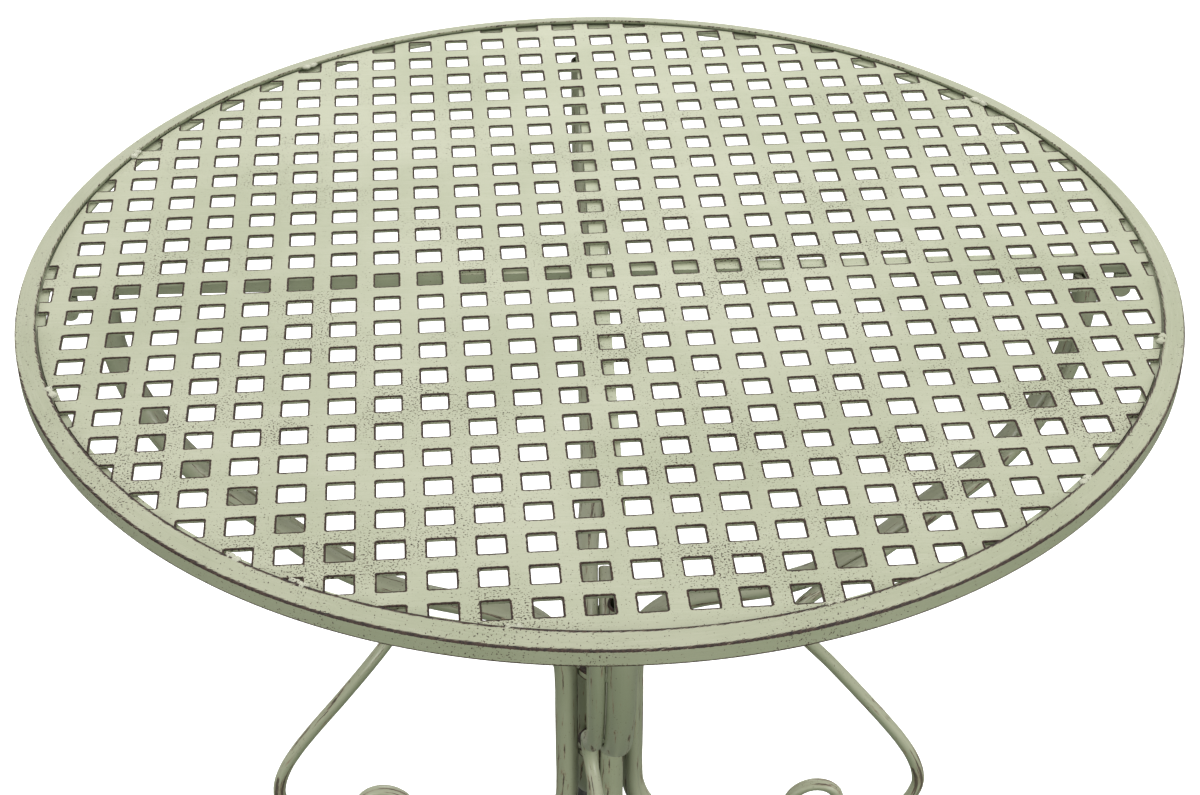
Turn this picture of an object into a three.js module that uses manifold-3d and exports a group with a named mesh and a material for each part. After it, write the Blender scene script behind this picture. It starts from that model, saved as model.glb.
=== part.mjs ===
// Round iron bistro table with a perforated top, in millimetres.
// +Z is up. The origin is on the floor, under the middle of the top.
// The four legs stand on the X and Y axes; the front of the table is -Y.
import * as THREE from 'three';
import { mergeGeometries, mergeVertices } from 'three/addons/utils/BufferGeometryUtils.js';
import Module from 'manifold-3d';

// ---- driving dimensions ----
const TOP_DIAMETER = 700;
const TABLE_HEIGHT = 752;
const FIT_GAP = 0.3; // room left where two pieces are welded or rest together

// rolled angle ring around the top: a face that slopes outward and a skirt that hangs from its outer edge
const RING_FACE = 12.5;
const RING_SLOPE = 3; // drop of the face from its inner edge, the highest place, to its outer edge
const RING_SKIRT = 10;
const RING_WALL = 2.5;

// perforated plate, set a little below the ring's face
const PLATE_THICKNESS = 2;
const PLATE_DROP = 2;
const PLATE_EDGE_GAP = 1;
const HOLE_SIZE = 14.2;
const HOLE_PITCH = 26;
const HOLES_FROM_CENTRE = 13;
const SMALLEST_WEB = 4; // a hole that leaves less than this at the plate's edge isn't punched
const GRID_TURN = THREE.MathUtils.degToRad(2.4); // the hole rows don't line up exactly with the legs
const GRID_SHIFT = [0.8, -3]; // and the middle hole isn't exactly in the middle

// flat hoop inside the ring, under the plate's edge
const LEDGE_INNER_RADIUS = 332;
const LEDGE_OUTER_RADIUS = 343;
const LEDGE_THICKNESS = 2;

// square bars crossing under the plate, and the tab below each end
const BRACE_WIDTH = 9.2;
const BRACE_DEPTH = 9.2;
const BRACE_END_GAP = 0.5;
const SIDE_BRACE_BACK = 3.5; // the side-to-side bar lies a little behind the middle
const TAB_RADIUS_FROM_CENTRE = 324;
const TAB_WIDTH = 11;
const TAB_HEIGHT = 17;
const TAB_THICKNESS = 4;

// legs: bent tube, the same shape above and below the middle of the table
const TUBE_DIAMETER = 16;
const TUBE_WALL = 1.5;
const FOOT_BASE = 6; // thickness of plastic under the tube's lower end
// side view of a leg's upper half: distance from the table's centre line, depth below the plate's top
const LEG_PROFILE = [
  [301, 11.5], [301, 43], [295, 76], [283, 108], [260, 146], [217, 189], [176, 227],
  [140, 248], [105, 259], [72, 266], [45, 278], [28, 299], [23.6, 322], [23.3, 346],
];
// beyond this distance a leg lies in its own radial plane; in the bundle it stands beside that plane
const LEG_SHIFT_START = 140;
const LEG_SHIFT_END = 30;
const BUNDLE_SHIFT = 7.5;

// round bar: along the upper leg and out into a scroll, and straight through the bundle
const ROD_DIAMETER = 9;
const SCROLL_TOP_DEPTH = 36; // it starts beside the leg at this depth
const SCROLL_LEAVES_LEG = 162; // and follows it in to this distance from the centre line
// free bend between the leg and the spiral: distance from the centre line, depth below the plate's top
const SCROLL_BEND = [
  [147, 251], [137, 260], [133, 272], [135, 286], [144, 301], [158, 320], [180, 350], [202, 380], [216, 401],
  [226, 421],
];
const SCROLL_SWING = [262, 340]; // between these depths it swings sideways, nearly under the leg
const SPIRAL_ASIDE = 3; // the spiral's own distance from the leg's plane
const SPIRAL_CENTRE = [158.5, 457];
const SPIRAL_WIDEST = 66; // radius on the outer side, at the same height as its centre
const SPIRAL_TIGHTEST = 13;
const SPIRAL_DECAY = 0.59; // of what is left above the tightest radius, for each radian
const SPIRAL_START = THREE.MathUtils.degToRad(-12);
const SPIRAL_END = THREE.MathUtils.degToRad(375);
const BUNDLE_ROD_REACH = 62; // both ends follow the leg out to this distance from the centre line

// turned rings that hold the four tubes apart where they run together
const SPACER_HEIGHT = 7;
const SPACER_WALL = 5;
const SPACER_DEPTHS = [322, 397];

// plastic foot caps
const FOOT_RADIUS = 11.5;
const FOOT_HEIGHT = 26;
const FOOT_BORE = 8.6;
const FOOT_EDGE = 1.5;

// ---- how finely the curves are divided ----
const CIRCLE_STEPS = 72;
const TUBE_SIDES = 8;
const BORE_SIDES = 6;
const ROD_SIDES = 6;
const LEG_STEPS = 46;
const LEG_SAMPLES = 64; // points read off a leg for the bars beside it
const SCROLL_STEPS = 66;
const SPIRAL_POINTS = 22;
const BUNDLE_ROD_STEPS = 14;
const SPACER_STEPS = 20;
const FOOT_STEPS = 16;
const TAB_STEPS = 8;

// ---- places worked out from the dimensions ----
const TOP_RADIUS = TOP_DIAMETER / 2;
const PLATE_TOP = TABLE_HEIGHT - PLATE_DROP;
const PLATE_RADIUS = TOP_RADIUS - RING_FACE - PLATE_EDGE_GAP;
const BRACE_TOP = PLATE_TOP - PLATE_THICKNESS;
const BRACE_LENGTH = 2 * (LEDGE_INNER_RADIUS - BRACE_END_GAP);
const LEG_TOP_DEPTH = LEG_PROFILE[0][1];
const MIDDLE_DEPTH = (LEG_TOP_DEPTH + PLATE_TOP - FOOT_BASE) / 2; // half way down a leg
const BUNDLE_RADIUS = LEG_PROFILE.at(-1)[0];
const ROD_BESIDE_TUBE = (TUBE_DIAMETER + ROD_DIAMETER) / 2 + FIT_GAP;
const SIDES = [['front', -90], ['right', 0], ['back', 90], ['left', 180]];

// ---- materials ----
const PAINT = { color: 0xb4bd99, roughness: 0.45, metalness: 0.1 };
const DARK_PAINT = { color: 0x9aa682, roughness: 0.5, metalness: 0.1 };
const PLASTIC = { color: 0x2c2d2b, roughness: 0.6, metalness: 0 };

function makeMesh(name, geometry, look) {
  const mesh = new THREE.Mesh(geometry, new THREE.MeshStandardMaterial(look));
  mesh.name = name;
  return mesh;
}

// ---- joining and cutting ----
const wasm = await Module();
wasm.setup();

function toSolid(geometry) {
  const bare = geometry.clone();
  bare.deleteAttribute('normal');
  bare.deleteAttribute('uv');
  const merged = mergeVertices(bare, 1e-4);
  return new wasm.Manifold(new wasm.Mesh({
    numProp: 3,
    vertProperties: new Float32Array(merged.attributes.position.array),
    triVerts: new Uint32Array(merged.index.array),
  }));
}

function toGeometry(solid) {
  const { numProp, vertProperties, triVerts } = solid.getMesh();
  const positions = new Float32Array((vertProperties.length / numProp) * 3);
  for (let i = 0; i < positions.length / 3; i += 1) {
    positions.set(vertProperties.subarray(i * numProp, i * numProp + 3), i * 3);
  }
  const geometry = new THREE.BufferGeometry();
  geometry.setAttribute('position', new THREE.BufferAttribute(positions, 3));
  geometry.setIndex(Array.from(triVerts));
  geometry.computeVertexNormals();
  return geometry;
}

// ---- shared shapes ----
function box(width, depth, height, x, y, z) {
  return new THREE.BoxGeometry(width, depth, height).translate(x, y, z);
}

// turns a closed profile of [radius, height] points about the Z axis
function turned(profile, steps) {
  const points = profile.map(([radius, height]) => new THREE.Vector2(radius, height));
  points.push(points[0].clone());
  return new THREE.LatheGeometry(points, steps).rotateX(Math.PI / 2);
}

function regularPolygon(radius, sides) {
  const points = [];
  for (let i = 0; i < sides; i += 1) {
    const angle = ((i + 0.5) / sides) * 2 * Math.PI;
    points.push(new THREE.Vector2(radius * Math.cos(angle), radius * Math.sin(angle)));
  }
  return points;
}

function sweptTube(path, steps) {
  const section = new THREE.Shape(regularPolygon(TUBE_DIAMETER / 2, TUBE_SIDES));
  section.holes.push(new THREE.Path(regularPolygon(TUBE_DIAMETER / 2 - TUBE_WALL, BORE_SIDES)));
  return new THREE.ExtrudeGeometry(section, { steps, extrudePath: path });
}

function sweptRod(path, steps) {
  const section = new THREE.Shape(regularPolygon(ROD_DIAMETER / 2, ROD_SIDES));
  return new THREE.ExtrudeGeometry(section, { steps, extrudePath: path });
}

// ---- top ----
function ringGeometry() {
  const outer = TOP_RADIUS;
  const inner = TOP_RADIUS - RING_FACE;
  const cornerHeight = TABLE_HEIGHT - RING_SLOPE;
  return turned([
    [inner, TABLE_HEIGHT - RING_WALL],
    [outer - RING_WALL, cornerHeight - RING_WALL],
    [outer - RING_WALL, cornerHeight - RING_SKIRT],
    [outer, cornerHeight - RING_SKIRT],
    [outer, cornerHeight],
    [inner, TABLE_HEIGHT],
  ], CIRCLE_STEPS);
}

function ledgeGeometry() {
  const top = PLATE_TOP - PLATE_THICKNESS - FIT_GAP;
  const bottom = top - LEDGE_THICKNESS;
  return turned([
    [LEDGE_INNER_RADIUS, bottom],
    [LEDGE_OUTER_RADIUS, bottom],
    [LEDGE_OUTER_RADIUS, top],
    [LEDGE_INNER_RADIUS, top],
  ], CIRCLE_STEPS);
}

// middles of the holes in the grid's own axes
function holeMiddles() {
  const middles = [];
  for (let row = -HOLES_FROM_CENTRE; row <= HOLES_FROM_CENTRE; row += 1) {
    for (let column = -HOLES_FROM_CENTRE; column <= HOLES_FROM_CENTRE; column += 1) {
      const x = column * HOLE_PITCH + GRID_SHIFT[0];
      const y = row * HOLE_PITCH + GRID_SHIFT[1];
      const nearest = Math.hypot(
        Math.max(Math.abs(x) - HOLE_SIZE / 2, 0),
        Math.max(Math.abs(y) - HOLE_SIZE / 2, 0),
      );
      if (nearest < PLATE_RADIUS - SMALLEST_WEB) {
        middles.push([x, y]);
      }
    }
  }
  return middles;
}

// a round plate with square holes in straight rows; holes that meet the edge are cut open by it
function plateGeometry() {
  const plate = new THREE.CylinderGeometry(PLATE_RADIUS, PLATE_RADIUS, PLATE_THICKNESS, CIRCLE_STEPS);
  plate.rotateX(Math.PI / 2).translate(0, 0, PLATE_TOP - PLATE_THICKNESS / 2);
  const punchLength = 3 * PLATE_THICKNESS;
  const punches = holeMiddles().map(([x, y]) => box(HOLE_SIZE, HOLE_SIZE, punchLength, x, y, PLATE_TOP));
  const cut = toSolid(plate).subtract(toSolid(mergeGeometries(punches)));
  return toGeometry(cut).rotateZ(GRID_TURN);
}

// one bar with half its depth cut away where it crosses the other, so that the two lie in one layer
function braceGeometry(cutFromTop, crossing) {
  const middle = BRACE_TOP - BRACE_DEPTH / 2;
  const bar = box(BRACE_LENGTH, BRACE_WIDTH, BRACE_DEPTH, 0, 0, middle);
  const notchWidth = BRACE_WIDTH + 2 * FIT_GAP;
  const notchMiddle = middle + (cutFromTop ? 1 : -1) * (BRACE_DEPTH / 2 - FIT_GAP / 2);
  const notch = box(notchWidth, 2 * BRACE_WIDTH, BRACE_DEPTH, crossing, 0, notchMiddle);
  return toGeometry(toSolid(bar).subtract(toSolid(notch)));
}

// flat tab with a round lower end
function tabGeometry() {
  const half = TAB_WIDTH / 2;
  const outline = new THREE.Shape();
  outline.moveTo(half, 0);
  outline.lineTo(-half, 0);
  outline.lineTo(-half, half - TAB_HEIGHT);
  outline.absarc(0, half - TAB_HEIGHT, half, Math.PI, 2 * Math.PI, false);
  const tab = new THREE.ExtrudeGeometry(outline, {
    depth: TAB_THICKNESS,
    bevelEnabled: false,
    curveSegments: TAB_STEPS,
  });
  tab.rotateX(Math.PI / 2).translate(0, TAB_THICKNESS / 2, 0);
  return tab;
}

// ---- legs and scrolls ----
// every path below is in a leg's own frame: x out from the centre line, y sideways, z up
function sidewaysShift(radius) {
  return BUNDLE_SHIFT * (1 - THREE.MathUtils.smoothstep(radius, LEG_SHIFT_END, LEG_SHIFT_START));
}

function legPath() {
  const upper = LEG_PROFILE.map(([radius, depth]) => (
    new THREE.Vector3(radius, sidewaysShift(radius), PLATE_TOP - depth)
  ));
  const mirrorHeight = PLATE_TOP - MIDDLE_DEPTH;
  const lower = upper.map((point) => new THREE.Vector3(point.x, point.y, 2 * mirrorHeight - point.z));
  return new THREE.CatmullRomCurve3([...upper, ...lower.reverse()]);
}

// those points of a leg that are wanted, moved sideways off its middle line
function pointsBesideLeg(leg, sideways, isWanted) {
  return leg.getSpacedPoints(LEG_SAMPLES)
    .filter(isWanted)
    .map((point) => point.clone().add(new THREE.Vector3(0, sideways, 0)));
}

function spiralPoint(share) {
  const angle = THREE.MathUtils.lerp(SPIRAL_START, SPIRAL_END, share);
  const radius = SPIRAL_TIGHTEST + (SPIRAL_WIDEST - SPIRAL_TIGHTEST) * Math.exp(-SPIRAL_DECAY * angle);
  return [SPIRAL_CENTRE[0] + radius * Math.cos(angle), SPIRAL_CENTRE[1] + radius * Math.sin(angle)];
}

// down beside the upper leg, out in a free bend, and round a spiral that tightens
function scrollPath(leg) {
  const middleHeight = PLATE_TOP - MIDDLE_DEPTH;
  const topHeight = PLATE_TOP - SCROLL_TOP_DEPTH;
  const points = pointsBesideLeg(leg, -ROD_BESIDE_TUBE, (point) => (
    point.z > middleHeight && point.z < topHeight && point.x > SCROLL_LEAVES_LEG
  ));
  const freePart = [...SCROLL_BEND];
  for (let i = 0; i < SPIRAL_POINTS; i += 1) {
    freePart.push(spiralPoint(i / (SPIRAL_POINTS - 1)));
  }
  for (const [radius, depth] of freePart) {
    const swing = THREE.MathUtils.smoothstep(depth, ...SCROLL_SWING);
    const sideways = -THREE.MathUtils.lerp(ROD_BESIDE_TUBE, SPIRAL_ASIDE, swing);
    points.push(new THREE.Vector3(radius, sideways, PLATE_TOP - depth));
  }
  return new THREE.CatmullRomCurve3(points);
}

// straight through the bundle, with both ends bent out along the tube
function bundleRodPath(leg) {
  const points = pointsBesideLeg(leg, -ROD_BESIDE_TUBE, (point) => point.x < BUNDLE_ROD_REACH);
  return new THREE.CatmullRomCurve3(points);
}

function spacerGeometry() {
  const outer = Math.hypot(BUNDLE_RADIUS, BUNDLE_SHIFT) - TUBE_DIAMETER / 2 - FIT_GAP;
  const inner = outer - SPACER_WALL;
  const half = SPACER_HEIGHT / 2;
  return turned([[inner, -half], [outer, -half], [outer, half], [inner, half]], SPACER_STEPS);
}

// a cup with a flat base, turned in one piece
function footGeometry() {
  const points = [
    [0, 0], [FOOT_RADIUS - FOOT_EDGE, 0], [FOOT_RADIUS, FOOT_EDGE], [FOOT_RADIUS - FOOT_EDGE, FOOT_HEIGHT],
    [FOOT_BORE, FOOT_HEIGHT], [FOOT_BORE, FOOT_BASE - FIT_GAP], [0, FOOT_BASE - FIT_GAP],
  ].map(([radius, height]) => new THREE.Vector2(radius, height));
  return new THREE.LatheGeometry(points, FOOT_STEPS).rotateX(Math.PI / 2);
}

// ---- assembly ----
const table = new THREE.Group();
table.add(makeMesh('top_ring', ringGeometry(), PAINT));
table.add(makeMesh('top_plate', plateGeometry(), PAINT));
table.add(makeMesh('plate_ledge', ledgeGeometry(), DARK_PAINT));
const sideBrace = makeMesh('brace_side_to_side', braceGeometry(true, 0), DARK_PAINT);
sideBrace.position.y = SIDE_BRACE_BACK;
table.add(sideBrace);
const crossBrace = makeMesh('brace_front_to_back', braceGeometry(false, SIDE_BRACE_BACK), DARK_PAINT);
crossBrace.rotation.z = Math.PI / 2;
table.add(crossBrace);

const leg = legPath();
for (const [side, degrees] of SIDES) {
  const quarter = new THREE.Group();
  quarter.rotation.z = THREE.MathUtils.degToRad(degrees);

  const tab = makeMesh(`brace_tab_${side}`, tabGeometry(), DARK_PAINT);
  tab.position.set(TAB_RADIUS_FROM_CENTRE, 0, BRACE_TOP - BRACE_DEPTH - FIT_GAP);
  quarter.add(tab);
  quarter.add(makeMesh(`leg_${side}`, sweptTube(leg, LEG_STEPS), PAINT));
  quarter.add(makeMesh(`scroll_${side}`, sweptRod(scrollPath(leg), SCROLL_STEPS), PAINT));
  quarter.add(makeMesh(`bundle_rod_${side}`, sweptRod(bundleRodPath(leg), BUNDLE_ROD_STEPS), PAINT));

  const foot = makeMesh(`foot_cap_${side}`, footGeometry(), PLASTIC);
  foot.position.x = LEG_PROFILE[0][0];
  quarter.add(foot);
  table.add(quarter);
}

['upper', 'lower'].forEach((place, i) => {
  const spacer = makeMesh(`spacer_ring_${place}`, spacerGeometry(), DARK_PAINT);
  spacer.position.z = PLATE_TOP - SPACER_DEPTHS[i];
  table.add(spacer);
});

export default table;
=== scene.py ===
"""Round iron bistro table with a perforated top: finished shapes, worn paint, light and camera.

Shapes are worked out in millimetres from the frame's nodes and turned into metres when a mesh is made.
"""

import math

import bpy
import numpy as np
from mathutils import Matrix, Vector
from mathutils.geometry import delaunay_2d_cdt


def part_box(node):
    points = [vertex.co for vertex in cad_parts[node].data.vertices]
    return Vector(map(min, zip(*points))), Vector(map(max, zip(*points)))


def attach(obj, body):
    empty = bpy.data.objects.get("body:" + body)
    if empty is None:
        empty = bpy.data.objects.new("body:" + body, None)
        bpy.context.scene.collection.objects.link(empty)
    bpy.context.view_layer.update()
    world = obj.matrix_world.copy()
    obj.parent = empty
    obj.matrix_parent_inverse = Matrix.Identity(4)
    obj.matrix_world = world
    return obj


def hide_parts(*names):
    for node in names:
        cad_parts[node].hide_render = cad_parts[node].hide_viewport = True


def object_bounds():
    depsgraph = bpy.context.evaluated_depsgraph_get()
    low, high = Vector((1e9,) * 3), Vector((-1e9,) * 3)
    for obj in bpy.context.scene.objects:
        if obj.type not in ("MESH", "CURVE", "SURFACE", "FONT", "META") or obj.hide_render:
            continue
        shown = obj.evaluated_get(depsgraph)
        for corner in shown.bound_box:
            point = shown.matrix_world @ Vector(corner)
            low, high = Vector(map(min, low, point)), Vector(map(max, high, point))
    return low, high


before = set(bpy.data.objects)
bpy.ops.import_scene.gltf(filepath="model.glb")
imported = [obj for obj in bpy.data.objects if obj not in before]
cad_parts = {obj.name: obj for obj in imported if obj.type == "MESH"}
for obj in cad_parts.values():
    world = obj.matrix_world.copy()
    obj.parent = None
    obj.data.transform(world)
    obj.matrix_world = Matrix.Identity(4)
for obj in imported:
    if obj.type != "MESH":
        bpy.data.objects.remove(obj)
cad_low, cad_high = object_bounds()

MM = 0.001
SIDES = {"front": -90, "right": 0, "back": 90, "left": 180}  # degrees round the table
RANDOM = np.random.default_rng(7)
PLATE_DROP = 2.0        # of the plate's top below the ring's inner edge
PLATE_TOP = cad_high[2] / MM - PLATE_DROP

# ---- dimensions that the frame's boxes don't tell, in millimetres ----
HOLE_SIZE = 14.2
HOLE_PITCH = 26.0
HOLE_CORNER = 0.8
GRID_TURN = math.radians(2.4)
GRID_SHIFT = np.array([0.8, -3.0])
SMALLEST_WEB = 4.0      # a hole that leaves less than this at the plate's edge isn't punched
PUNCHED_EDGE = 0.3      # rounding that the punch leaves round each hole
WORN_BAND = 1.9         # how far from a hole its worn edge may reach
RING_WALL = 2.5
RING_SLOPE = 3.0        # drop of the ring's face from its inner edge to its outer edge
RING_GAP = 1.0          # between the ring and the plate
RING_CORNER = 0.9
TUBE_WALL = 1.5
TUBE_OPEN_DEPTH = 30    # of the bore at a tube's open upper end
TUBE_RADIUS = 8.0
ROD_RADIUS = 4.5
CIRCLE_STEPS = 360
TUBE_SIDES = 24
ROD_SIDES = 16
BAR_STEP = 4.0          # between rings of corners along a bar
TUBE_LINK = 7.0         # corners nearer than this belong to the same ring of a swept CAD tube
ROD_LINK = 4.8
RIM_WELDS = (-159, -126, -119, -99.5, -72, -42, -16, 37, 125, 153)  # degrees round the ring
RIM_BEAD_HEIGHT = 1.5
TOP_TACK = (3.0, 1.6, 1.3)      # half length, half width and half height of a weld bead
ROD_TACK = (4.2, 1.5, 1.0)
SPACER_TACK = (3.2, 1.5, 1.2)
TACKS_ROUND_TUBE = 5
WELD_SHARP_ANGLE = 80


# ---- reading the frame ----
def node_points(node):
    """Every distinct corner of a CAD node, in millimetres."""
    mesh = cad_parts[node].data
    coordinates = np.empty(3 * len(mesh.vertices), np.float32)
    mesh.vertices.foreach_get("co", coordinates)
    return np.unique(np.round(coordinates.reshape(-1, 3) / MM, 2), axis=0).astype(float)


def node_box(node):
    """Lowest and highest corner of a CAD node, in millimetres."""
    low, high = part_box(node)
    return np.array(low) / MM, np.array(high) / MM


def outer_radius(node):
    """Greatest distance of a node's corners from the table's middle line."""
    points = node_points(node)
    return float(np.hypot(points[:, 0], points[:, 1]).max())


def ring_centres(node, link):
    """Middles of the rings of corners that a bent bar is made of, in order from its highest end."""
    left = node_points(node)
    centres = []
    while len(left):
        group, rest = left[:1], left[1:]
        while True:
            gaps = np.linalg.norm(rest[:, None] - group[None], axis=2)
            close = (gaps < link).any(axis=1)
            if not close.any():
                break
            group = np.vstack([group, rest[close]])
            rest = rest[~close]
        centres.append(group.mean(axis=0))
        left = rest
    centres = np.array(centres)
    order = [int(centres[:, 2].argmax())]
    remaining = set(range(len(centres))) - set(order)
    while remaining:
        last = centres[order[-1]]
        nearest = min(remaining, key=lambda i: np.linalg.norm(centres[i] - last))
        order.append(nearest)
        remaining.remove(nearest)
    return centres[order]


# ---- lines in space ----
def smooth_line(points, steps=12):
    """Catmull-Rom curve through evenly spaced points."""
    before = 2 * points[0] - points[1]
    after = 2 * points[-1] - points[-2]
    padded = np.vstack([before, points, after])
    t = np.linspace(0, 1, steps, endpoint=False)[:, None]
    pieces = []
    for a, b, c, d in zip(padded, padded[1:], padded[2:], padded[3:]):
        pieces.append(0.5 * (2 * b + (c - a) * t + (2 * a - 5 * b + 4 * c - d) * t ** 2
                             + (3 * b - a - 3 * c + d) * t ** 3))
    return np.vstack(pieces + [points[-1:]])


class Line:
    """A line measured along its length, with a sideways and an upward direction at every place."""

    def __init__(self, points, step=1.0):
        gaps = np.linalg.norm(np.diff(points, axis=0), axis=1)
        places = np.concatenate([[0], np.cumsum(gaps)])
        self.length = float(places[-1])
        self.places = np.linspace(0, self.length, max(3, int(self.length / step) + 1))
        self.points = np.column_stack([np.interp(self.places, places, points[:, k]) for k in range(3)])
        tangents = np.gradient(self.points, self.places, axis=0)
        tangents /= np.linalg.norm(tangents, axis=1)[:, None]
        first = tangents[0]
        helper = np.array([0.0, 0.0, 1.0]) if abs(first[2]) < 0.9 else np.array([1.0, 0.0, 0.0])
        across = np.cross(helper, first)
        across /= np.linalg.norm(across)
        sideways = []
        for tangent in tangents:
            across = across - tangent * (across @ tangent)
            across = across / np.linalg.norm(across)
            sideways.append(across)
        self.sideways = np.array(sideways)
        self.upward = np.cross(tangents, self.sideways)

    def at(self, place):
        """Point, sideways and upward directions at a distance from the line's start."""
        i = float(np.interp(place, self.places, np.arange(len(self.places))))
        low = min(int(i), len(self.places) - 2)
        share = i - low
        return [(1 - share) * v[low] + share * v[low + 1] for v in (self.points, self.sideways, self.upward)]


def straight(start, end, points=12):
    return Line(np.linspace(np.array(start, float), np.array(end, float), points))


def bar_line(node, link):
    """Smooth middle line of a bent CAD bar."""
    return Line(smooth_line(ring_centres(node, link)))


# ---- shapes ----
class Shape:
    """Corners and faces of one piece, in millimetres.

    edge is 1 on a corner that wears and 0 away from it. bar is where a corner would be if its bar were
    straight and stood on its end.
    """

    def __init__(self):
        self.points = []
        self.faces = []
        self.edge = []
        self.bar = []

    def add(self, points, faces, edge=None, bar=None):
        start = len(self.points)
        self.points.extend(map(tuple, points))
        self.faces.extend(tuple(start + i for i in face) for face in faces)
        self.edge.extend(edge if edge is not None else [0.0] * len(points))
        self.bar.extend(map(tuple, bar if bar is not None else points))
        return self


def bridge(rings, sides, closed=False):
    """Faces between rings of corners that follow each other in the corner list."""
    faces = []
    for i in range(rings if closed else rings - 1):
        near, far = i * sides, (i + 1) % rings * sides
        for k in range(sides):
            after = (k + 1) % sides
            faces.append((near + k, near + after, far + after, far + k))
    return faces


def sweep(line, stations, sides, shape=None):
    """Round bar along a line. A station is (distance along, radius, edge); both ends are closed."""
    shape = shape or Shape()
    angles = np.linspace(0, 2 * math.pi, sides, endpoint=False)
    points, edge, bar = [], [], []
    for place, radius, worn in stations:
        middle, sideways, upward = line.at(place)
        for angle in angles:
            x, y = radius * math.cos(angle), radius * math.sin(angle)
            points.append(middle + x * sideways + y * upward)
            edge.append(worn)
            bar.append((x, y, place))
    faces = bridge(len(stations), sides)
    faces.append(tuple(reversed(range(sides))))
    last = (len(stations) - 1) * sides
    faces.append(tuple(range(last, last + sides)))
    return shape.add(points, faces, edge, bar)


def turned(profile, steps=CIRCLE_STEPS, height=0.0):
    """Closed profile of (radius, height, edge) turned about the table's middle line."""
    points, edge, bar = [], [], []
    for k in range(steps):
        angle = 2 * math.pi * k / steps
        for radius, z, worn in profile:
            points.append((radius * math.cos(angle), radius * math.sin(angle), z + height))
            edge.append(worn)
            bar.append((radius, z, angle * radius))
    return Shape().add(points, bridge(steps, len(profile), closed=True), edge, bar)


def arc(centre, radius, start, end, count, edge):
    """Points of a rounded corner, with the angles in degrees."""
    angles = np.radians(np.linspace(start, end, count))
    return [(centre[0] + radius * math.cos(a), centre[1] + radius * math.sin(a), edge) for a in angles]


def make_piece(name, shape, material, replaces=(), sharp_angle=40):
    mesh = bpy.data.meshes.new(name)
    mesh.from_pydata([tuple(c * MM for c in point) for point in shape.points], [], shape.faces)
    mesh.validate()
    mesh.attributes.new("edge", "FLOAT", "POINT").data.foreach_set("value", np.array(shape.edge, np.float32))
    bar = mesh.attributes.new("bar", "FLOAT_VECTOR", "POINT")
    bar.data.foreach_set("vector", (np.array(shape.bar, np.float32) * MM).ravel())
    mesh.polygons.foreach_set("use_smooth", [True] * len(mesh.polygons))
    mesh.set_sharp_from_angle(angle=math.radians(sharp_angle))
    mesh.materials.append(material)
    piece = bpy.data.objects.new(name, mesh)
    bpy.context.scene.collection.objects.link(piece)
    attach(piece, "root")
    if replaces:
        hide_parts(*replaces)
    return piece


# ---- perforated plate ----
def rounded_square(size, corner):
    """Outline of a square with rounded corners about the origin, anticlockwise."""
    inner = size / 2 - corner
    points = []
    for turn, (x, y) in enumerate([(1, 1), (-1, 1), (-1, -1), (1, -1)]):
        points += arc((x * inner, y * inner), corner, 90 * turn, 90 * turn + 90, 4, 0)
    return np.array(points)[:, :2]


def turn_grid(points, angle=GRID_TURN):
    c, s = math.cos(angle), math.sin(angle)
    return points @ np.array([[c, s], [-s, c]])


def hole_middles(plate_radius):
    """Middles of every hole that the punch makes, in the grid's own axes."""
    reach = int(plate_radius / HOLE_PITCH) + 1
    steps = [(i, j) for i in range(-reach, reach + 1) for j in range(-reach, reach + 1)]
    middles = np.array(steps) * HOLE_PITCH + GRID_SHIFT
    nearest = np.maximum(np.abs(middles) - HOLE_SIZE / 2, 0)
    return middles[np.hypot(nearest[:, 0], nearest[:, 1]) < plate_radius - SMALLEST_WEB]


def gap_to_hole(points, middles):
    """Distance from points on the plate to the nearest hole's outline, negative inside it."""
    in_grid = turn_grid(points, -GRID_TURN)
    nearest = np.round((in_grid - GRID_SHIFT) / HOLE_PITCH) * HOLE_PITCH + GRID_SHIFT
    punched = {tuple(middle) for middle in np.round(middles, 2)}
    is_punched = np.array([tuple(middle) in punched for middle in np.round(nearest, 2)])
    beyond = np.abs(in_grid - nearest) - HOLE_SIZE / 2
    outside = np.hypot(*np.maximum(beyond, 0).T)
    gap = np.where(beyond.max(axis=1) < 0, beyond.max(axis=1), outside)
    return np.where(is_punched, gap, HOLE_PITCH)


def inside_circle(points, radius):
    return np.hypot(points[:, 0], points[:, 1]) < radius


def flat_plate(radius, middles):
    """Corners and triangles of the plate's top face, with a second outline round each hole."""
    angles = np.linspace(0, 2 * math.pi, CIRCLE_STEPS, endpoint=False)
    rim = radius * np.column_stack([np.cos(angles), np.sin(angles)])
    outlines = [rim]
    for spread in (PUNCHED_EDGE, WORN_BAND):
        hole = rounded_square(HOLE_SIZE + 2 * spread, HOLE_CORNER + spread)
        outlines += [turn_grid(hole + middle) for middle in middles]
    corners = [Vector(p) for outline in outlines for p in outline]
    edges = []
    start = 0
    for outline in outlines:
        count = len(outline)
        edges += [(start + i, start + (i + 1) % count) for i in range(count)]
        start += count
    flat, _, triangles, *_ = delaunay_2d_cdt(corners, edges, [], 0, 1e-5)
    flat = np.array([tuple(p) for p in flat])
    triangles = np.array([tuple(t) for t in triangles])

    centres = flat[triangles].mean(axis=1)
    flat_side = radius * math.cos(math.pi / CIRCLE_STEPS)
    kept = inside_circle(centres, flat_side) & (gap_to_hole(centres, middles) > PUNCHED_EDGE * 0.9)
    triangles = triangles[kept]
    a, b, c = (flat[triangles[:, k]] for k in range(3))
    clockwise = (b[:, 0] - a[:, 0]) * (c[:, 1] - a[:, 1]) - (b[:, 1] - a[:, 1]) * (c[:, 0] - a[:, 0]) < 0
    triangles[clockwise] = triangles[clockwise][:, ::-1]
    used, triangles = np.unique(triangles, return_inverse=True)
    return flat[used], triangles.reshape(-1, 3)


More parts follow.
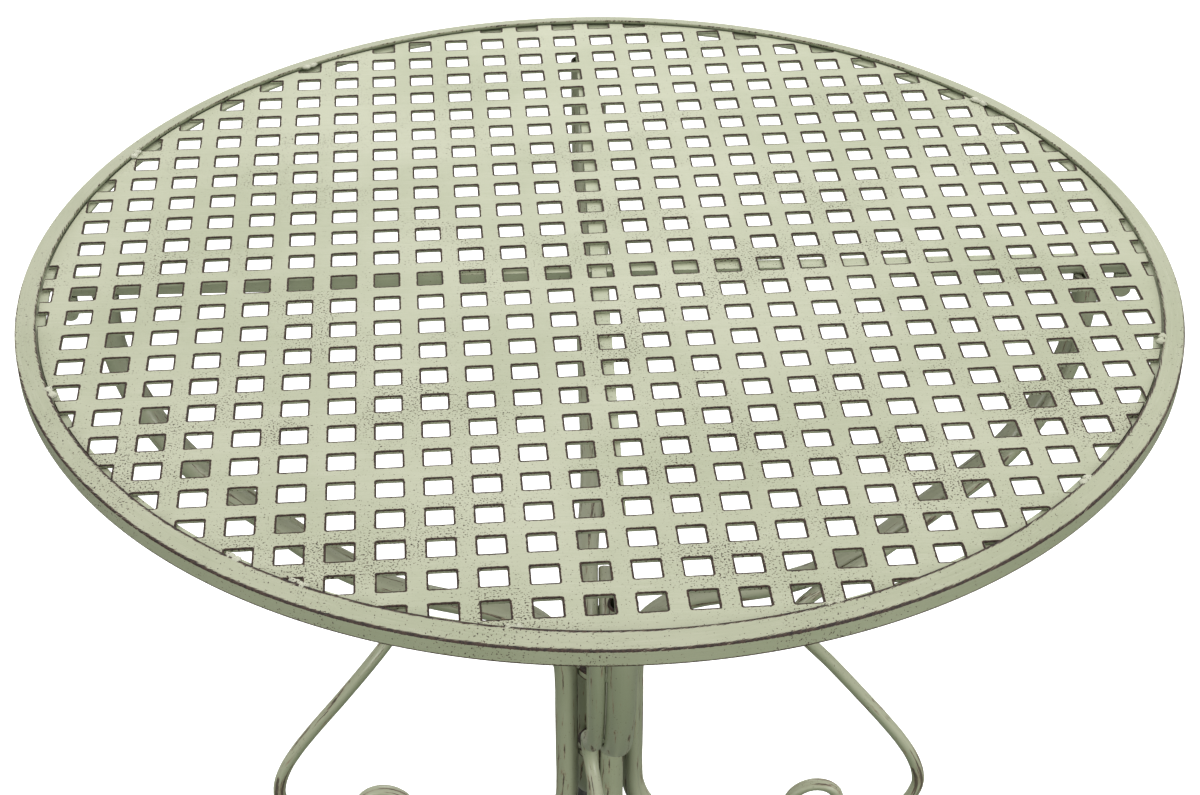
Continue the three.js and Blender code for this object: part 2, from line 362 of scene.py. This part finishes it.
def cut_edges(flat, triangles):
    """Border sides of a flat mesh, and at each corner the direction that points out over the border."""
    sides = {(t[k], t[(k + 1) % 3]) for t in triangles.tolist() for k in range(3)}
    border = [(i, j) for i, j in sides if (j, i) not in sides]
    outward = np.zeros_like(flat)
    stretch = np.zeros(len(flat))
    first = {}
    for i, j in border:
        along = (flat[j] - flat[i]) / np.linalg.norm(flat[j] - flat[i])
        normal = np.array([along[1], -along[0]])
        for corner in (i, j):
            if corner in first:
                stretch[corner] = 1 + first[corner] @ normal
            else:
                first[corner] = normal
            outward[corner] += normal
    return border, outward / np.maximum(stretch, 0.3)[:, None]


def plate_shape():
    """Perforated sheet with every punched edge rounded."""
    low, high = node_box("top_plate")
    radius = outer_radius("top_plate")
    middles = hole_middles(radius)
    flat, triangles = flat_plate(radius - PUNCHED_EDGE, middles)
    border, outward = cut_edges(flat, triangles)
    worn = np.clip(1 - (gap_to_hole(flat, middles) - PUNCHED_EDGE) / (WORN_BAND - PUNCHED_EDGE), 0, 1)

    # layers from the top face over the rounded edge, down the wall and under
    round_in = PUNCHED_EDGE * (1 - math.sqrt(0.5))
    layers = [(0.0, high[2], worn), (PUNCHED_EDGE - round_in, high[2] - round_in, 1.0),
              (PUNCHED_EDGE, high[2] - PUNCHED_EDGE, 0.9), (PUNCHED_EDGE, high[2] - 0.8, 0.1),
              (PUNCHED_EDGE, low[2] + round_in, 0.2), (PUNCHED_EDGE - round_in, low[2], 0.5)]
    count = len(flat)
    points, edge = [], []
    for offset, z, wear in layers:
        points += [(x, y, z) for x, y in flat + offset * outward]
        edge += list(np.broadcast_to(wear, count))
    faces = [tuple(t) for t in triangles.tolist()]
    under = count * (len(layers) - 1)
    faces += [(under + k, under + j, under + i) for i, j, k in triangles.tolist()]
    for layer in range(len(layers) - 1):
        upper, lower = layer * count, (layer + 1) * count
        faces += [(upper + i, lower + i, lower + j, upper + j) for i, j in border]
    return without_loose_corners(Shape().add(points, faces, edge))


def without_loose_corners(shape):
    used = np.unique([i for face in shape.faces for i in face])
    place = {old: new for new, old in enumerate(used.tolist())}
    tidy = Shape()
    return tidy.add([shape.points[i] for i in used], [[place[i] for i in face] for face in shape.faces],
                    [shape.edge[i] for i in used])


# ---- ring and ledge ----
def ring_shape():
    """Angle ring: a sloping face, a rounded outer corner and a skirt, all of one wall."""
    low, high = node_box("top_ring")
    outer = outer_radius("top_ring")
    inner = outer_radius("top_plate") + RING_GAP
    top, bottom = high[2], low[2]
    tilt = math.degrees(math.atan2(RING_SLOPE, outer - inner))

    def face(radius, below=0.0):
        return top - RING_SLOPE * (radius - inner) / (outer - inner) - below

    def on_face(radius, edge, below=0.0):
        return radius, face(radius, below), edge

    small = 0.5     # rounding of the corners that aren't the outer one
    inside = 1.5    # rounding of the bend between face and skirt, on its inner side
    back = outer - RING_WALL
    corner = outer - RING_CORNER
    profile = [on_face(inner + 2.6, 0.0), on_face(inner + 1.2, 0.75)]
    profile += arc((inner + small, top - small), small, 110, 180, 3, 1.0)
    profile += arc((inner + small, top - RING_WALL + small), small, 180, 270, 3, 0.6)
    profile += [on_face(inner + 3, 0.0, RING_WALL), on_face(back - 2, 0.0, RING_WALL)]
    profile += arc((back - inside, face(back, RING_WALL) - 1.2), inside, 90 - tilt, 0, 4, 0.0)
    profile += [(back, bottom + 2.5, 0.0)]
    profile += arc((back + small, bottom + small), small, 180, 270, 3, 0.8)
    profile += arc((outer - small, bottom + small), small, 270, 360, 3, 1.0)
    profile += [(outer, bottom + 1.4, 0.3), (outer, bottom + 3.0, 0.0)]
    profile += [(outer, face(corner) - RING_CORNER - 0.5, 0.25)]
    profile += arc((corner, face(corner) - RING_CORNER), RING_CORNER, 0, 90 - tilt, 5, 0.9)
    profile += [on_face(corner - 0.6, 0.55), on_face(corner - 2.4, 0.0)]
    return turned(profile[::-1])


def ledge_shape():
    """Flat hoop under the plate's edge."""
    low, high = node_box("plate_ledge")
    outer = outer_radius("plate_ledge")
    inner = outer_radius("brace_side_to_side") + 0.5
    edge = 0.5
    profile = arc((inner + edge, low[2] + edge), edge, 180, 270, 3, 0.8)
    profile += arc((outer - edge, low[2] + edge), edge, 270, 360, 3, 0.8)
    profile += arc((outer - edge, high[2] - edge), edge, 0, 90, 3, 0.8)
    profile += arc((inner + edge, high[2] - edge), edge, 90, 180, 3, 0.8)
    return turned(profile)


# ---- welds ----
def bead(shape, middle, along, across, upward, size):
    """Lumpy closed blob about a middle point; size is its half length, half width and half height."""
    rows, columns = 8, 14
    axes = np.array([along, across, upward], float)
    phases = RANDOM.uniform(0, 2 * math.pi, 3)
    points = [middle + size[2] * axes[2]]
    for row in range(1, rows):
        down = math.pi * row / rows
        for column in range(columns):
            turn = 2 * math.pi * column / columns
            lump = 1 + 0.13 * math.sin(3 * turn + phases[0]) * math.sin(down)
            lump += 0.10 * math.sin(5 * turn + 4 * down + phases[1]) + 0.06 * math.sin(7 * down + phases[2])
            share = np.array([math.sin(down) * math.cos(turn), math.sin(down) * math.sin(turn),
                              math.cos(down)])
            points.append(middle + (lump * np.array(size) * share) @ axes)
    points.append(middle - size[2] * axes[2])
    faces = []
    last = len(points) - 1
    for column in range(columns):
        after = (column + 1) % columns
        faces.append((0, 1 + column, 1 + after))
        for row in range(rows - 2):
            near, far = 1 + row * columns, 1 + (row + 1) * columns
            faces.append((near + column, far + column, far + after, near + after))
        bottom = 1 + (rows - 2) * columns
        faces.append((bottom + column, last, bottom + after))
    shape.add(points, faces)


def rim_weld_shape():
    """Beads across the gap between the plate and the ring."""
    shape = Shape()
    gap_radius = outer_radius("top_plate") + RING_GAP / 2
    for degrees in RIM_WELDS:
        angle = math.radians(degrees)
        outward = np.array([math.cos(angle), math.sin(angle), 0.0])
        along = np.array([-outward[1], outward[0], 0.0])
        length = RANDOM.uniform(4.0, 6.0)
        for offset in (-0.55, 0.5):
            middle = outward * (gap_radius + RANDOM.uniform(-0.8, 0.4)) + along * offset * length
            middle = middle + (0, 0, PLATE_TOP + 0.8)
            half_width = RANDOM.uniform(2.2, 2.9)
            bead(shape, middle, along, outward, (0, 0, 1), (0.7 * length, half_width, RIM_BEAD_HEIGHT))
    return shape


def frame_weld_shape(side, degrees):
    """Tacks of one leg: at the bar under the plate, along the scroll's bar and along the bundle's bar."""
    shape = Shape()
    tube = ring_centres(f"leg_{side}", TUBE_LINK)
    angle = math.radians(degrees)
    outward = np.array([math.cos(angle), math.sin(angle), 0.0])
    across = np.array([-outward[1], outward[0], 0.0])
    upward = np.array([0.0, 0.0, 1.0])
    for turn in range(TACKS_ROUND_TUBE):
        lean = 2 * math.pi * turn / TACKS_ROUND_TUBE
        reach = math.cos(lean) * outward + math.sin(lean) * across
        around = math.cos(lean) * across - math.sin(lean) * outward
        middle = tube[0] + 0.85 * TUBE_RADIUS * reach
        under_the_bar = abs(middle @ across) < TUBE_RADIUS / 2
        if under_the_bar:
            bead(shape, middle, around, reach, upward, TOP_TACK)
    for node in (f"scroll_{side}", f"bundle_rod_{side}"):
        rod = ring_centres(node, ROD_LINK)
        beside = [i for i in range(1, len(rod) - 1)
                  if np.linalg.norm(tube - rod[i], axis=1).min() < TUBE_RADIUS + 2 * ROD_RADIUS]
        for i in beside[1::max(2, len(beside) // 3)]:
            along = rod[i + 1] - rod[i - 1]
            along /= np.linalg.norm(along)
            nearest = tube[np.linalg.norm(tube - rod[i], axis=1).argmin()]
            to_tube = across * np.sign((nearest - rod[i]) @ across)
            outer = np.cross(along, to_tube)
            middle = rod[i] + 0.95 * ROD_RADIUS * to_tube + 1.3 * outer * np.sign(outer @ (outward + upward))
            bead(shape, middle, along, to_tube, outer, ROD_TACK)
    return shape


def spacer_weld_shape(node):
    """Short beads where a spacer ring meets the four tubes."""
    shape = Shape()
    _, high = node_box(node)
    rim = outer_radius(node)
    for side in SIDES:
        tube = ring_centres(f"leg_{side}", TUBE_LINK)
        nearest = tube[np.abs(tube[:, 2] - high[2]).argmin()]
        direction = np.array([nearest[0], nearest[1], 0.0]) / np.hypot(nearest[0], nearest[1])
        along = np.array([-direction[1], direction[0], 0.0])
        middle = direction * (rim - 0.3) + (0, 0, high[2] - 0.2)
        bead(shape, middle, along, direction, (0, 0, 1), SPACER_TACK)
    return shape


# ---- bars ----
def along_bar(start, end, radius):
    """Evenly spaced stations of one radius."""
    count = max(2, round((end - start) / BAR_STEP))
    return [(place, radius, 0.0) for place in np.linspace(start, end, count)]


def tube_shape(node, radius):
    """Bent tube, open at its upper end."""
    line = bar_line(node, TUBE_LINK)
    bore = radius - TUBE_WALL
    stations = [(TUBE_OPEN_DEPTH, bore, 0), (0.4, bore, 0.6), (0, bore + 0.4, 1)]
    stations += [(0, radius - 0.5, 1), (0.5, radius, 1)]
    stations += along_bar(4, line.length - 1, radius)
    stations += [(line.length - 0.5, radius, 1), (line.length, radius - 0.5, 1)]
    return sweep(line, stations, TUBE_SIDES)


def rod_shape(node, radius):
    """Solid round bar with softened ends."""
    line = bar_line(node, ROD_LINK)
    end = [(0, radius - 3.0, 0), (0, radius - 1.3, 0.5), (0.4, radius - 0.5, 0.8), (1.3, radius, 0.4)]
    stations = end + along_bar(4, line.length - 4, radius)
    stations += [(line.length - place, end_radius, worn) for place, end_radius, worn in reversed(end)]
    return sweep(line, stations, ROD_SIDES)


def spacer_shape(node):
    """Turned ring with rounded corners."""
    low, high = node_box(node)
    outer = outer_radius(node)
    points = node_points(node)
    inner = float(np.hypot(points[:, 0], points[:, 1]).min())
    edge = 0.8
    profile = arc((inner + edge, low[2] + edge), edge, 180, 270, 4, 1)
    profile += arc((outer - edge, low[2] + edge), edge, 270, 360, 4, 1)
    profile += [(outer, (low[2] + high[2]) / 2, 0)]
    profile += arc((outer - edge, high[2] - edge), edge, 0, 90, 4, 1)
    profile += arc((inner + edge, high[2] - edge), edge, 90, 180, 4, 1)
    return turned(profile, 96)


def foot_shape(node):
    """Cup with a wide base, a soft rim and a shallow groove round its wall."""
    low, high = node_box(node)
    middle = (low + high) / 2
    radius = (high[0] - low[0]) / 2
    height = high[2] - low[2]
    bore = radius - 2.9
    inside_bottom = 5.7
    line = straight((middle[0], middle[1], low[2]), (middle[0], middle[1], high[2]))
    slope = 1.5     # how much narrower the wall is at its top
    groove = radius - 0.7
    stations = [(0.0, 2.0, 0.3), (0.0, radius - 1.8, 0.6), (0.35, radius - 0.9, 1), (1.2, radius - 0.1, 1),
                (2.0, radius, 0.6), (5.0, radius - 0.2, 0), (5.5, groove, 0), (6.5, groove, 0),
                (7.0, radius - 0.3, 0.5)]
    stations += [(z, radius - slope * z / height, 0) for z in np.linspace(9, height - 1.2, 6)]
    stations += [(height - 0.4, radius - slope - 0.25, 1), (height, radius - slope - 0.8, 1),
                 (height, bore + 0.3, 1), (height - 0.4, bore, 0.6), (height - 4, bore, 0),
                 (inside_bottom, bore, 0)]
    return sweep(line, stations, 48)


# ---- shader nodes ----
def from_srgb(red, green, blue):
    """Colour given as 0 to 255, as linear light."""
    linear = []
    for value in (red, green, blue):
        share = value / 255
        linear.append(share / 12.92 if share <= 0.04045 else ((share + 0.055) / 1.055) ** 2.4)
    return (*linear, 1.0)


class Shader:
    """One material's node tree, with short ways to add and join nodes."""

    def __init__(self, name):
        self.material = bpy.data.materials.new(name)
        self.material.use_nodes = True
        self.tree = self.material.node_tree
        self.tree.nodes.clear()

    def add(self, kind, inputs=None, output=0, **settings):
        node = self.tree.nodes.new("ShaderNode" + kind)
        for key, value in settings.items():
            setattr(node, key, value)
        for key, value in (inputs or {}).items():
            if isinstance(value, bpy.types.NodeSocket):
                self.tree.links.new(value, node.inputs[key])
            else:
                node.inputs[key].default_value = value
        return node.outputs[output]

    def math(self, operation, a, b=0.0, clamp=False):
        return self.add("Math", {0: a, 1: b}, operation=operation, use_clamp=clamp)

    def attribute(self, name, output="Fac"):
        return self.add("Attribute", output=output, attribute_name=name)

    def scaled(self, vector, x, y, z):
        return self.add("VectorMath", {0: vector, 1: (x, y, z)}, operation="MULTIPLY")

    def noise(self, vector, scale, detail=3.0, roughness=0.55, distortion=0.0):
        return self.add("TexNoise", {"Vector": vector, "Scale": scale, "Detail": detail,
                                     "Roughness": roughness, "Distortion": distortion})

    def between(self, value, low, high):
        """0 below low, 1 above high and smooth between."""
        return self.add("MapRange", {"Value": value, "From Min": low, "From Max": high},
                        interpolation_type="SMOOTHSTEP")

    def mix(self, share, a, b):
        return self.add("Mix", {0: share, 6: a, 7: b}, output=2, data_type="RGBA")

    def bump(self, height, strength, distance, normal=None):
        inputs = {"Height": height, "Strength": strength, "Distance": distance}
        if normal is not None:
            inputs["Normal"] = normal
        return self.add("Bump", inputs)

    def finish(self, colour, roughness, normal, specular=0.5):
        surface = self.add("BsdfPrincipled", {"Base Color": colour, "Roughness": roughness, "Normal": normal,
                                              "Specular IOR Level": specular})
        self.add_output(surface)
        return self.material

    def add_output(self, surface):
        output = self.tree.nodes.new("ShaderNodeOutputMaterial")
        self.tree.links.new(surface, output.inputs["Surface"])


PAINT = from_srgb(186, 189, 162)
PAINT_DEEP = from_srgb(174, 179, 149)
PAINT_PALE = from_srgb(205, 206, 186)
# darker under-coat, which shows in the brush marks; also the colour of the painted shade on faces that turn
# sideways or down
UNDER_COAT_AND_SHADE = from_srgb(118, 130, 98)
RUST_LIGHT = from_srgb(146, 98, 78)
RUST_DARK = from_srgb(36, 25, 20)
GRIME = from_srgb(72, 53, 41)


def bevelled_corner(shader):
    """1 on a CAD piece's corners, found from its softened normals."""
    true_normal = shader.add("NewGeometry", output="Normal")
    soft_normal = shader.add("Bevel", {"Radius": 1.2 * MM}, samples=6)
    alike = shader.add("VectorMath", {0: true_normal, 1: soft_normal}, output="Value",
                       operation="DOT_PRODUCT")
    return shader.math("MULTIPLY", shader.math("SUBTRACT", 1.0, alike), 3.0, clamp=True)


def coordinate(shader, position, axis):
    """X, Y or Z of a position."""
    return shader.add("SeparateXYZ", {0: position}, output=axis)


def speckles_of(shader, position, amount):
    """Small dark chips, in drifts, with more of them toward the front of the table."""
    drift = shader.between(shader.noise(position, 17.0, 3.0), 0.38, 0.68)
    toward_front = shader.between(coordinate(shader, position, "Y"), 0.30, -0.32)
    density = shader.math("ADD", shader.math("MULTIPLY", drift, 0.055),
                          shader.math("MULTIPLY", toward_front, 0.03))
    fine = shader.noise(position, 900.0, 2.0, 0.5)
    limit = shader.math("SUBTRACT", 0.76 - 0.02 * amount, shader.math("MULTIPLY", density, amount))
    return shader.between(shader.math("SUBTRACT", fine, limit), 0.0, 0.035)


def bare_corners(shader, position, own, corner, ragged, tooth_height, worn_from, front_wear):
    """1 where the paint is gone along the corners, with a ragged boundary."""
    worn_edge = bevelled_corner(shader) if corner == "bevel" else shader.attribute("edge")
    tooth = shader.noise(shader.scaled(own, *ragged), 1.0, 4.0, 0.65)
    lift = shader.math("MULTIPLY", shader.math("SUBTRACT", tooth, 0.5), tooth_height)
    sway = shader.math("MULTIPLY", shader.math("SUBTRACT", shader.noise(position, 30.0, 2.0), 0.5), 0.5)
    bare = shader.math("ADD", shader.math("ADD", worn_edge, lift), sway)
    if front_wear:
        behind = shader.between(coordinate(shader, position, "Y"), -0.30, 0.12)
        bare = shader.math("SUBTRACT", bare, shader.math("MULTIPLY", behind, front_wear))
    return shader.between(bare, worn_from, worn_from + 0.16)


def lines_along_bar(shader, own, amount):
    """Brown lines drawn along a bar."""
    lines = shader.noise(shader.scaled(own, 330, 330, 24), 1.0, 5.0, 0.68, 0.5)
    runs = shader.noise(shader.scaled(own, 60, 60, 7), 1.0, 2.0)
    limit = shader.math("SUBTRACT", 0.84 - 0.14 * amount, shader.math("MULTIPLY", runs, 0.3))
    drawn = shader.between(shader.math("SUBTRACT", lines, limit), 0.0, 0.07)
    return shader.math("MULTIPLY", drawn, 0.85)


def brushed_colour(shader, base, deep, patches, marks, broad_marks, grain):
    """Two paints laid on with a brush, one a little paler, over a darker coat."""
    colour = shader.mix(shader.between(patches, 0.35, 0.7), base, deep)
    colour = shader.mix(shader.math("MULTIPLY", shader.between(marks, 0.5, 0.75), 0.35), colour, PAINT_PALE)
    colour = shader.mix(shader.math("MULTIPLY", shader.between(broad_marks, 0.5, 0.3), 0.30), colour, deep)
    dips = shader.math("MULTIPLY", shader.between(marks, 0.42, 0.25), 0.22)
    colour = shader.mix(dips, colour, UNDER_COAT_AND_SHADE)
    return shader.mix(shader.math("MULTIPLY", shader.between(grain, 0.55, 0.8), 0.12), colour, UNDER_COAT_AND_SHADE)


def painted_iron(name, base=PAINT, deep=PAINT_DEEP, corner="attribute", strokes=(55, 1300, 1300),
                 along_bars=False, brown_lines=0.0, speckles=1.0, front_wear=0.0, worn_from=0.62,
                 ragged=(420, 420, 420), tooth_height=0.9):
    """Brushed satin paint over rusty iron.

    strokes and ragged are how fine the brush marks and the worn boundary are along three directions: those
    of the "bar" attribute where along_bars is set, and else the table's own.
    """
    shader = Shader(name)
    position = shader.add("TexCoord", output="Object")
    own = shader.attribute("bar", "Vector") if along_bars else position

    patches = shader.noise(position, 9.0, 4.0)
    marks = shader.noise(shader.scaled(own, *strokes), 1.0, 4.0, 0.6, 0.3)
    broad_marks = shader.noise(shader.scaled(own, *[0.3 * s for s in strokes]), 1.0, 3.0)
    grain = shader.noise(position, 1500.0, 2.0, 0.6)
    colour = brushed_colour(shader, base, deep, patches, marks, broad_marks, grain)

    # painted shade: walls of holes and undersides, which face sideways or down, are mixed toward the darker
    # under-coat colour
    tilt = shader.add("SeparateXYZ", {0: shader.add("NewGeometry", output="Normal")}, output="Z")
    painted_shade = shader.between(tilt, 0.45, -0.3)
    colour = shader.mix(shader.math("MULTIPLY", painted_shade, 0.75 if along_bars else 0.8), colour, UNDER_COAT_AND_SHADE)

    worn = bare_corners(shader, position, own, corner, ragged, tooth_height, worn_from, front_wear)
    worn = shader.math("MAXIMUM", worn, speckles_of(shader, position, speckles))
    if brown_lines:
        worn = shader.math("MAXIMUM", worn, lines_along_bar(shader, own, brown_lines))
    rust = shader.mix(shader.between(shader.noise(position, 700.0, 3.0), 0.35, 0.65), RUST_DARK, GRIME)
    rust = shader.mix(shader.between(worn, 0.35, 0.9), RUST_LIGHT, rust)
    colour = shader.mix(worn, colour, rust)

    roughness = shader.math("ADD", shader.math("MULTIPLY", patches, 0.16), 0.2 if along_bars else 0.45)
    roughness = shader.math("ADD", roughness, shader.math("MULTIPLY", grain, 0.08))
    roughness = shader.math("ADD", roughness, shader.math("MULTIPLY", worn, 0.3), clamp=True)
    normal = shader.bump(marks, 0.3, 0.2 * MM)
    normal = shader.bump(grain, 0.2, 0.08 * MM, normal)
    missing = shader.math("SUBTRACT", 1.0, worn)
    normal = shader.bump(missing, 0.6, 0.12 * MM, normal)
    return shader.finish(colour, roughness, normal)


def moulded_plastic(name):
    """Matt dark plastic, scuffed along its edges and dusty in patches."""
    shader = Shader(name)
    position = shader.add("TexCoord", output="Object")
    dust = shader.noise(position, 90.0, 4.0)
    grain = shader.noise(position, 2600.0, 2.0)
    scuffs = shader.noise(shader.scaled(position, 1400, 1400, 140), 1.0, 4.0, 0.6, 0.8)
    colour = shader.mix(shader.between(dust, 0.4, 0.75), from_srgb(44, 45, 43), from_srgb(84, 82, 76))
    marks = shader.math("MULTIPLY", shader.between(scuffs, 0.6, 0.75), 0.5)
    edge = shader.math("MULTIPLY", shader.attribute("edge"), shader.between(dust, 0.35, 0.6))
    marks = shader.math("MAXIMUM", marks, shader.math("MULTIPLY", edge, 0.6))
    colour = shader.mix(marks, colour, from_srgb(120, 118, 112))
    roughness = shader.math("ADD", shader.math("MULTIPLY", dust, 0.2), 0.5)
    normal = shader.bump(grain, 0.35, 0.06 * MM)
    normal = shader.bump(scuffs, 0.25, 0.08 * MM, normal)
    return shader.finish(colour, roughness, normal, 0.4)


# ---- assembly ----
# how fine the brush marks are across a bar, across it again and along it
along_line = (620, 620, 22)
round_ring = (1200, 1200, 45)
plate_paint = painted_iron("plate_paint", worn_from=0.4, speckles=1.9)
ring_paint = painted_iron("ring_paint", along_bars=True, strokes=round_ring, ragged=(200, 200, 700),
                          tooth_height=1.5, speckles=1.4, front_wear=0.42, worn_from=0.55)
bar_paint = painted_iron("bar_paint", along_bars=True, strokes=along_line, brown_lines=1.0)
tube_paint = painted_iron("tube_paint", along_bars=True, strokes=along_line, brown_lines=0.8)
# painted shade: the ledge and the bars under the top take the deeper of the two paints all over, darker than
# the lit top
under_paint = painted_iron("under_paint", base=PAINT_DEEP, corner="bevel", speckles=1.3)
weld_paint = painted_iron("weld_paint", base=PAINT_PALE, deep=PAINT, speckles=1.6)
foot_plastic = moulded_plastic("foot_plastic")

make_piece("plate", plate_shape(), plate_paint, ["top_plate"], sharp_angle=25)
make_piece("ring", ring_shape(), ring_paint, ["top_ring"])
make_piece("ledge", ledge_shape(), under_paint, ["plate_ledge"])
make_piece("rim_welds", rim_weld_shape(), weld_paint, sharp_angle=WELD_SHARP_ANGLE)

for side, degrees in SIDES.items():
    make_piece(f"tube_{side}", tube_shape(f"leg_{side}", TUBE_RADIUS), tube_paint,
               [f"leg_{side}"])
    make_piece(f"scroll_bar_{side}", rod_shape(f"scroll_{side}", ROD_RADIUS), bar_paint,
               [f"scroll_{side}"])
    make_piece(f"bundle_bar_{side}", rod_shape(f"bundle_rod_{side}", ROD_RADIUS), bar_paint,
               [f"bundle_rod_{side}"])
    make_piece(f"frame_welds_{side}", frame_weld_shape(side, degrees), weld_paint,
               sharp_angle=WELD_SHARP_ANGLE)
    make_piece(f"foot_{side}", foot_shape(f"foot_cap_{side}"), foot_plastic,
               [f"foot_cap_{side}"])
for place in ("upper", "lower"):
    node = f"spacer_ring_{place}"
    make_piece(f"spacer_{place}", spacer_shape(node), tube_paint, [node])
    make_piece(f"spacer_welds_{place}", spacer_weld_shape(node), weld_paint,
               sharp_angle=WELD_SHARP_ANGLE)

for node in ["brace_side_to_side", "brace_front_to_back"] + [f"brace_tab_{side}" for side in SIDES]:
    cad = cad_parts[node]
    cad.data.materials.clear()
    cad.data.materials.append(under_paint)
    bevel = cad.modifiers.new("softened", "BEVEL")
    bevel.width = 0.5 * MM
    bevel.segments = 2
    bevel.harden_normals = False


# ---- floor, light and camera ----
def make_floor():
    """Pale floor: it glows for the camera and throws only a little light up under the table."""
    shader = Shader("floor")
    position = shader.add("TexCoord", output="Object")
    mottled = shader.noise(position, 3.0, 4.0)
    colour = shader.mix(mottled, (0.93, 0.93, 0.93, 1), (0.97, 0.97, 0.965, 1))
    matt = shader.add("BsdfDiffuse", {"Color": colour})
    glow = shader.add("Emission", {"Color": colour, "Strength": 0.6})
    seen = shader.add("AddShader", {0: matt, 1: glow})
    dim = shader.add("BsdfDiffuse", {"Color": (0.16, 0.17, 0.15, 1)})
    is_camera = shader.add("LightPath", output="Is Camera Ray")
    shader.add_output(shader.add("MixShader", {0: is_camera, 1: dim, 2: seen}))
    reach = 30.0
    mesh = bpy.data.meshes.new("floor")
    mesh.from_pydata([(-reach, -reach, 0), (reach, -reach, 0), (reach, reach, 0), (-reach, reach, 0)], [],
                     [(0, 1, 2, 3)])
    mesh.materials.append(shader.material)
    floor = bpy.data.objects.new("floor", mesh)
    bpy.context.scene.collection.objects.link(floor)


def soft_light(name, location, target, size, power):
    """Round lamp of a diameter in metres and a power in watts."""
    lamp = bpy.data.lights.new(name, "AREA")
    lamp.shape = "DISK"
    lamp.size = size
    lamp.energy = power
    light = bpy.data.objects.new(name, lamp)
    light.location = location
    light.rotation_euler = (Vector(target) - Vector(location)).to_track_quat("-Z", "Y").to_euler()
    bpy.context.scene.collection.objects.link(light)


def make_camera():
    """Long lens from the front, looking down on the top."""
    aside, back, above_plate = -0.0476, -1.1912, 0.744
    azimuth, down, roll = math.radians(1.95), math.radians(35.19), math.radians(0.26)
    level = math.cos(down)
    forward = Vector((math.sin(azimuth) * level, math.cos(azimuth) * level, -math.sin(down)))
    right = forward.cross(Vector((0, 0, 1))).normalized()
    up = right.cross(forward)
    spin = Matrix.Rotation(roll, 3, forward)
    right, up = spin @ right, spin @ up
    lens = bpy.data.cameras.new("camera")
    lens.sensor_width = 36.0
    lens.lens = 68.97
    lens.shift_x = 0.01
    camera = bpy.data.objects.new("camera", lens)
    camera.matrix_world = Matrix((
        (right.x, up.x, -forward.x, aside),
        (right.y, up.y, -forward.y, back),
        (right.z, up.z, -forward.z, PLATE_TOP * MM + above_plate),
        (0, 0, 0, 1),
    ))
    bpy.context.scene.collection.objects.link(camera)
    bpy.context.scene.camera = camera


def make_world():
    """White surroundings, brightest overhead."""
    at_horizon, overhead = 0.45, 1.15
    world = bpy.data.worlds.new("studio")
    world.use_nodes = True
    tree = world.node_tree
    background = tree.nodes["Background"]
    background.inputs["Color"].default_value = (1.0, 1.0, 1.0, 1.0)
    direction = tree.nodes.new("ShaderNodeTexCoord")
    parts = tree.nodes.new("ShaderNodeSeparateXYZ")
    strength = tree.nodes.new("ShaderNodeMapRange")
    strength.inputs["To Min"].default_value = at_horizon
    strength.inputs["To Max"].default_value = overhead
    tree.links.new(direction.outputs["Generated"], parts.inputs[0])
    tree.links.new(parts.outputs["Z"], strength.inputs["Value"])
    tree.links.new(strength.outputs[0], background.inputs["Strength"])
    bpy.context.scene.world = world
    bpy.context.scene.view_settings.view_transform = "Standard"


make_floor()
make_world()
middle_of_top = (0, 0, cad_high[2])
middle_of_legs = (0, 0, 0.55 * cad_high[2])
soft_light("key", (0.1, 2.0, 2.2), middle_of_top, size=1.6, power=23)
soft_light("fill", (1.8, -0.6, 2.0), middle_of_top, size=1.8, power=5)
soft_light("left_leg_light", (-1.2, -1.7, 0.5), middle_of_legs, size=0.5, power=10)
soft_light("right_leg_light", (1.4, -1.4, 0.45), middle_of_legs, size=0.5, power=10)
make_camera()
